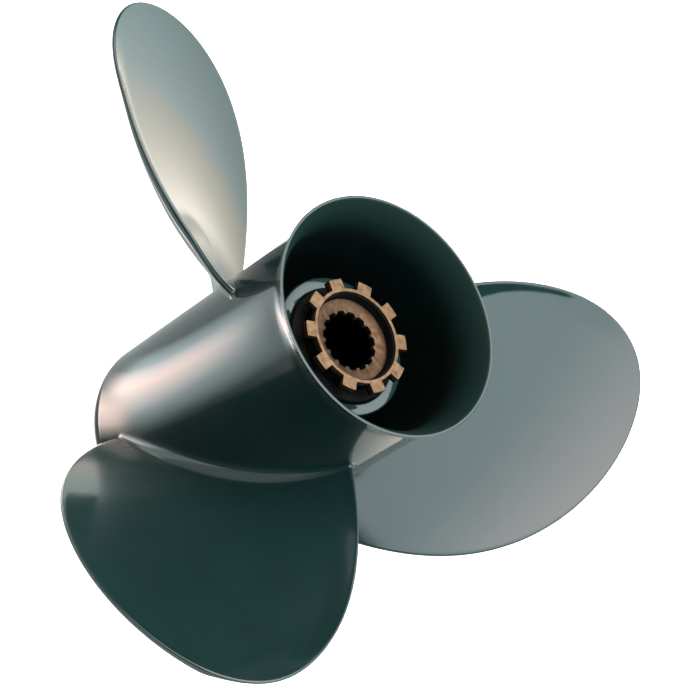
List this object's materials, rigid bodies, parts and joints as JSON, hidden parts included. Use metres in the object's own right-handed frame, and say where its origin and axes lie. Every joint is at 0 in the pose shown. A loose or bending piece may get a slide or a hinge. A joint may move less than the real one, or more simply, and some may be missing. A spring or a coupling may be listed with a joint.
{
  "type": "three-blade boat propeller with through-hub exhaust",
  "caption": "Right-hand three-blade boat propeller cast in one piece on a flared exhaust barrel, with a rubber-cushioned splined bronze hub.",
  "frame": {"origin": "centre of mass of the propeller, on the shaft axis, 78 mm aft of the barrel's flat front face", "axes": "+Z along the shaft axis, aft, towards the flared end of the barrel; the middle of one blade's root lies over -X"},
  "size_m": [0.309, 0.3319, 0.1684],
  "materials": {
    "enamelled_aluminium": "gloss",
    "black_rubber": "matte",
    "bronze": "satin"
  },
  "bodies": {
    "root": {"propeller_casting": "enamelled_aluminium", "hub_cushion": "black_rubber", "castellated_ring": "bronze", "splined_sleeve": "bronze"}
  },
  "joints": []
}
